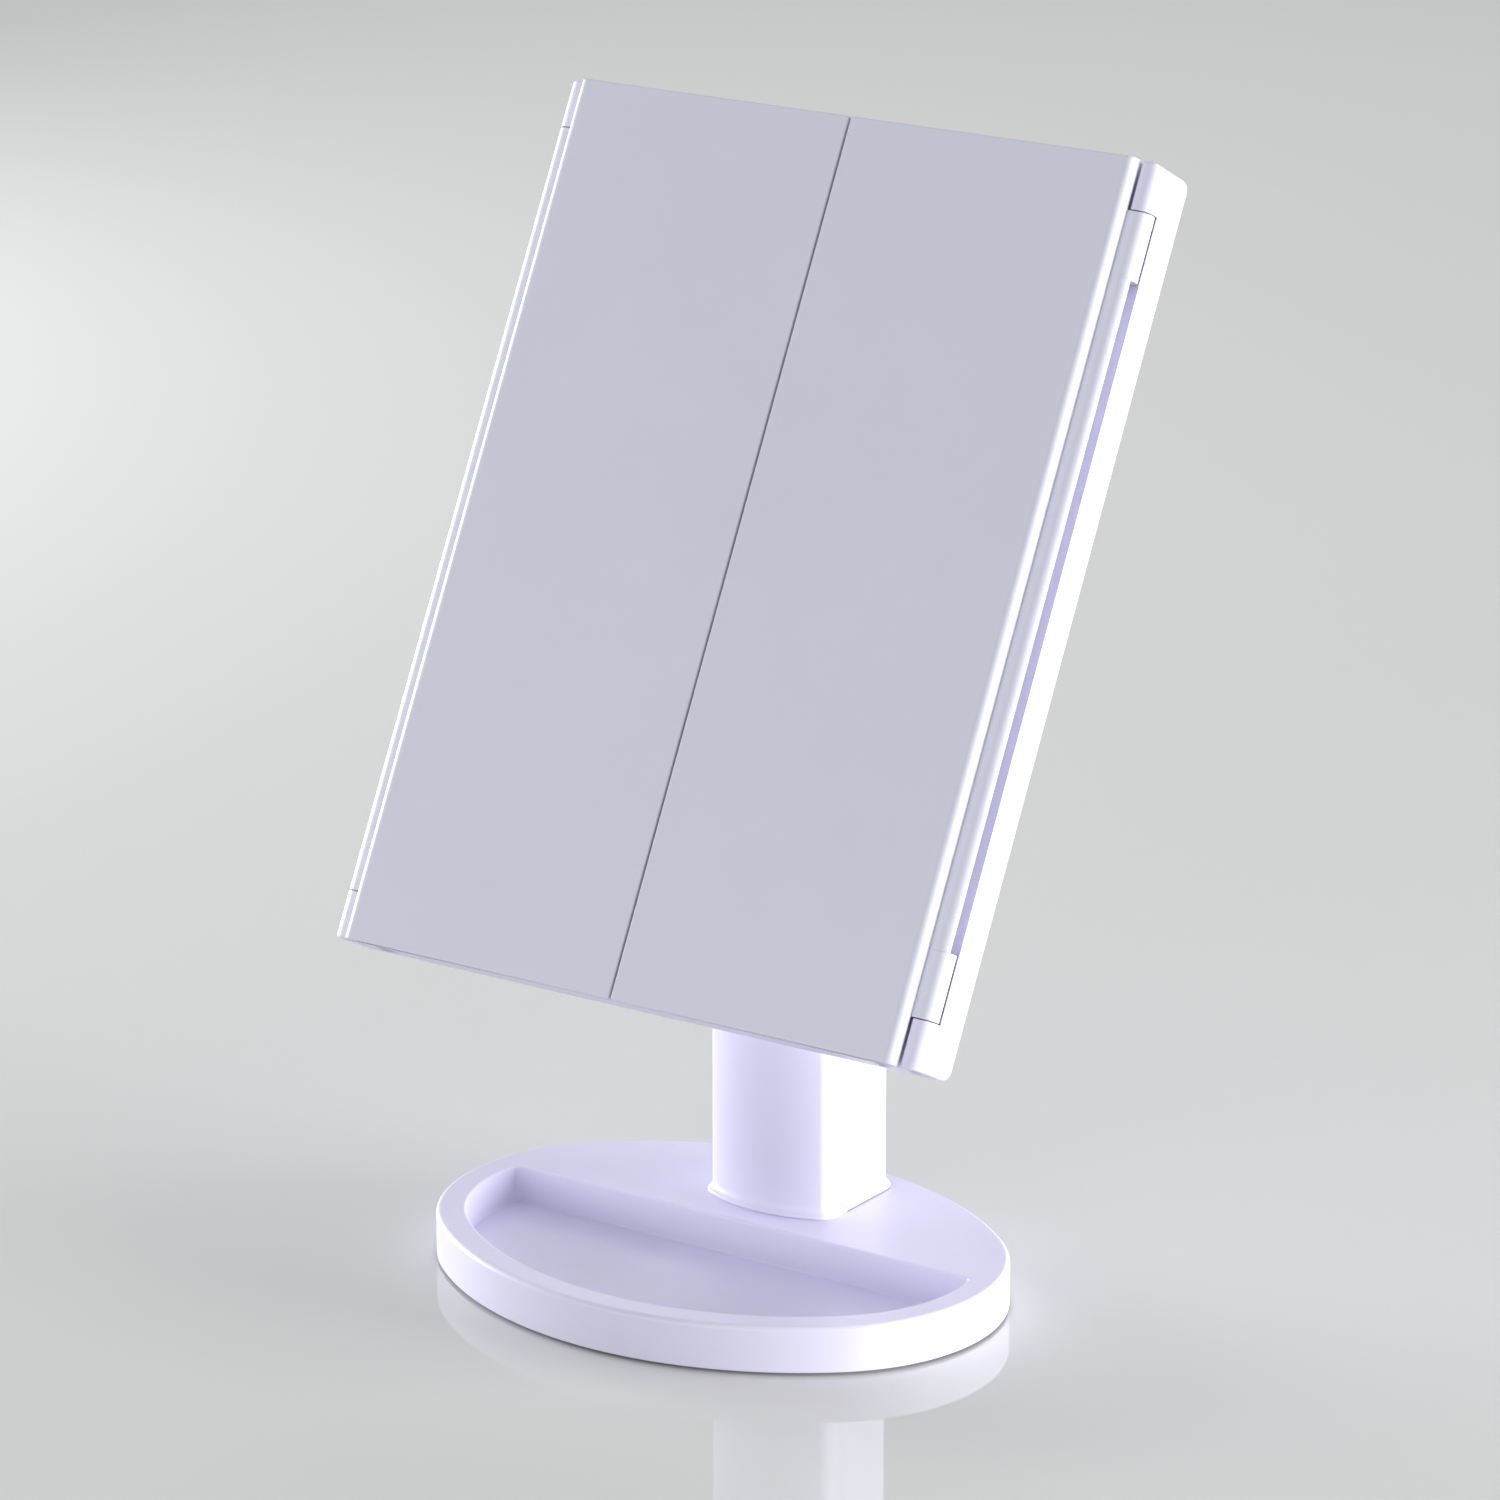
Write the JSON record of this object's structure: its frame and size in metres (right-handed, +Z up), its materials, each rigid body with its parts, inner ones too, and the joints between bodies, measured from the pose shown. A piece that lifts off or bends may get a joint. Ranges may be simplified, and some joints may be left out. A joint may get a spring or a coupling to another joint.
{
  "type": "lighted vanity mirror",
  "caption": "Folding lighted vanity mirror: a tilting rectangular head with hinged doors over its mirror, on a stem above an oval base with a D-shaped tray.",
  "frame": {"origin": "centre of the oval base, on the surface that the mirror stands on", "axes": "+Z up, -Y towards the user in front of the closed doors, +X to the right as seen from the front"},
  "size_m": [0.178, 0.1353, 0.2935],
  "materials": {
    "gloss_white": "satin white moulded plastic",
    "soft_white": "fine matte white moulded plastic",
    "rubber_pad": "matte foam rubber",
    "dark_plastic": "matte black plastic",
    "steel": "zinc-plated steel",
    "ballast_steel": "rolled mild steel",
    "mirror_glass": "silvered glass",
    "magnifier_glass": "silvered concave acrylic",
    "frosted_window": "frosted translucent acrylic",
    "board_green": "green circuit board",
    "board_white": "white circuit board",
    "led_phosphor": "yellow phosphor in a white package",
    "cell_jacket": "printed sleeve with no marks",
    "contact_nickel": "nickel-plated spring steel",
    "washer_nylon": "natural nylon",
    "wire_pvc": "black PVC",
    "copper_pad": "tinned copper"
  },
  "bodies": {
    "stand": {"base_shell": "gloss_white", "bottom_cover": "soft_white", "anti_slip_pad": "rubber_pad", "ballast_plate": "ballast_steel", "cover_screws": "steel", "usb_board": "board_green", "usb_socket": "contact_nickel", "board_screws": "steel", "stem_screws": "steel", "stem_front": "gloss_white", "stem_back": "gloss_white", "stem_joint_screws": "steel", "cell_holder": "dark_plastic", "cells": "cell_jacket", "cell_springs": "contact_nickel", "cell_contacts": "contact_nickel", "switch_body": "dark_plastic", "hinge_yoke": "gloss_white", "yoke_screws": "steel", "tilt_axle": "steel", "axle_nut": "steel", "disc_spring": "contact_nickel", "friction_washers": "washer_nylon", "axle_caps": "gloss_white", "stem_harness": "wire_pvc"},
    "head": {"head_bracket": "gloss_white", "bracket_screws": "steel", "back_shell": "gloss_white", "front_frame": "gloss_white", "head_screws": "steel", "centre_mirror": "mirror_glass", "light_windows": "frosted_window", "leds": "led_phosphor", "side_led_boards": "board_white", "top_led_board": "board_white", "inner_plate": "soft_white", "control_board": "board_green", "touch_sensor": "copper_pad", "head_harness": "wire_pvc", "hinge_pins": "steel"},
    "left_door": {"left_door_panel": "gloss_white", "left_door_rim": "soft_white", "low_magnifier": "magnifier_glass", "high_magnifier": "magnifier_glass"},
    "right_door": {"right_door_panel": "gloss_white", "right_door_rim": "soft_white", "side_mirror": "mirror_glass"},
    "battery_door": {"battery_door": "gloss_white"},
    "switch_knob": {"switch_knob": "soft_white"}
  },
  "joints": [
    {"name": "head_tilt", "type": "hinge", "parent": "stand", "child": "head", "pos_m": [0, 0.02699, 0.1528], "axis": [-1, 0, 0], "range_deg": [-27, 50]},
    {"name": "left_door_hinge", "type": "hinge", "parent": "head", "child": "left_door", "pos_m": [-0.0858, 0.01058, 0.18863], "axis": [0, -0.4617, -0.887], "range_deg": [0, 150]},
    {"name": "right_door_hinge", "type": "hinge", "parent": "head", "child": "right_door", "pos_m": [0.0858, 0.01058, 0.18863], "axis": [0, 0.4617, 0.887], "range_deg": [0, 150]},
    {"name": "battery_door_pull", "type": "slide", "parent": "stand", "child": "battery_door", "axis": [0, 1, 0], "range_m": [0, 0.03]},
    {"name": "power_switch_slide", "type": "slide", "parent": "stand", "child": "switch_knob", "axis": [0, 0, 1], "range_m": [0, 0.003]}
  ]
}
